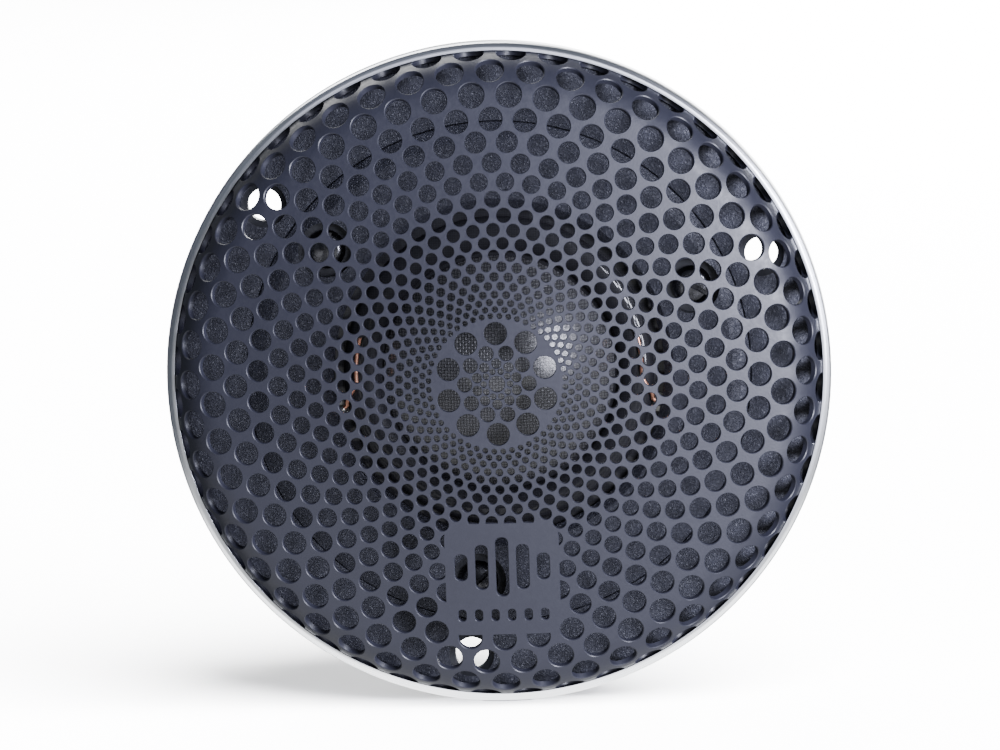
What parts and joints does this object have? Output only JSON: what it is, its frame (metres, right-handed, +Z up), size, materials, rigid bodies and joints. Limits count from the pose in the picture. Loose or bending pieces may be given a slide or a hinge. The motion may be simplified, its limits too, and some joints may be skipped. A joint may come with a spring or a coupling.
{
  "type": "car tweeter",
  "caption": "Round panel-mount soft-dome tweeter with a domed perforated metal grille, an aluminium trim ring, a screw-down flange and a magnet motor with a rear chamber.",
  "frame": {"origin": "centre of the flange's rear face, where it sits on the panel, at the centre of the panel cut-out", "axes": "-Y is the way the tweeter fires, +Y into the panel, +X to the right and +Z up as seen from the front"},
  "size_m": [0.084, 0.04, 0.084],
  "materials": {
    "aluminium_ring": "satin",
    "grille_coating": "satin",
    "textured_plastic": "matte",
    "plain_plastic": "satin",
    "foam": "matte",
    "black_steel": "gloss",
    "dome_silk": "satin",
    "surround_cloth": "satin",
    "polyimide": "satin",
    "copper": "satin",
    "tinned_brass": "satin",
    "brass": "satin",
    "plated_steel": "satin",
    "zinc_steel": "satin",
    "ferrite": "matte",
    "felt": "matte"
  },
  "bodies": {
    "driver": {"mounting_flange": "textured_plastic", "foam_gasket": "foam", "face_plate": "textured_plastic", "face_screw_1": "black_steel", "face_screw_2": "black_steel", "face_screw_3": "black_steel", "surround": "surround_cloth", "coupling_ring": "plain_plastic", "lead_wire_right": "copper", "lead_wire_left": "copper", "lead_tag_right": "tinned_brass", "lead_tag_left": "tinned_brass", "top_plate": "plated_steel", "ring_magnet": "ferrite", "pole_piece": "plated_steel", "back_plate": "plated_steel", "copper_cap": "copper", "felt_damper": "felt", "rear_chamber": "plain_plastic", "chamber_foam": "foam", "rear_screw_1": "zinc_steel", "rear_screw_2": "zinc_steel", "rear_screw_3": "zinc_steel", "terminal_block_positive": "plain_plastic", "terminal_positive": "tinned_brass", "terminal_rivet_positive": "brass", "terminal_block_negative": "plain_plastic", "terminal_negative": "tinned_brass", "terminal_rivet_negative": "brass"},
    "grille_cover": {"trim_ring": "aluminium_ring", "grille": "grille_coating"},
    "diaphragm": {"dome": "dome_silk", "voice_coil_former": "polyimide", "voice_coil": "copper"}
  },
  "joints": [
    {"name": "grille_pull", "type": "slide", "parent": "driver", "child": "grille_cover", "axis": [0, -1, 0], "range_m": [0, 0.02]},
    {"name": "diaphragm_travel", "type": "slide", "parent": "driver", "child": "diaphragm", "axis": [0, -1, 0], "range_m": [-0.0005, 0.0005], "stiffness_N_per_m": 10000, "deforming": ["surround", "lead_wire_right", "lead_wire_left"]}
  ]
}
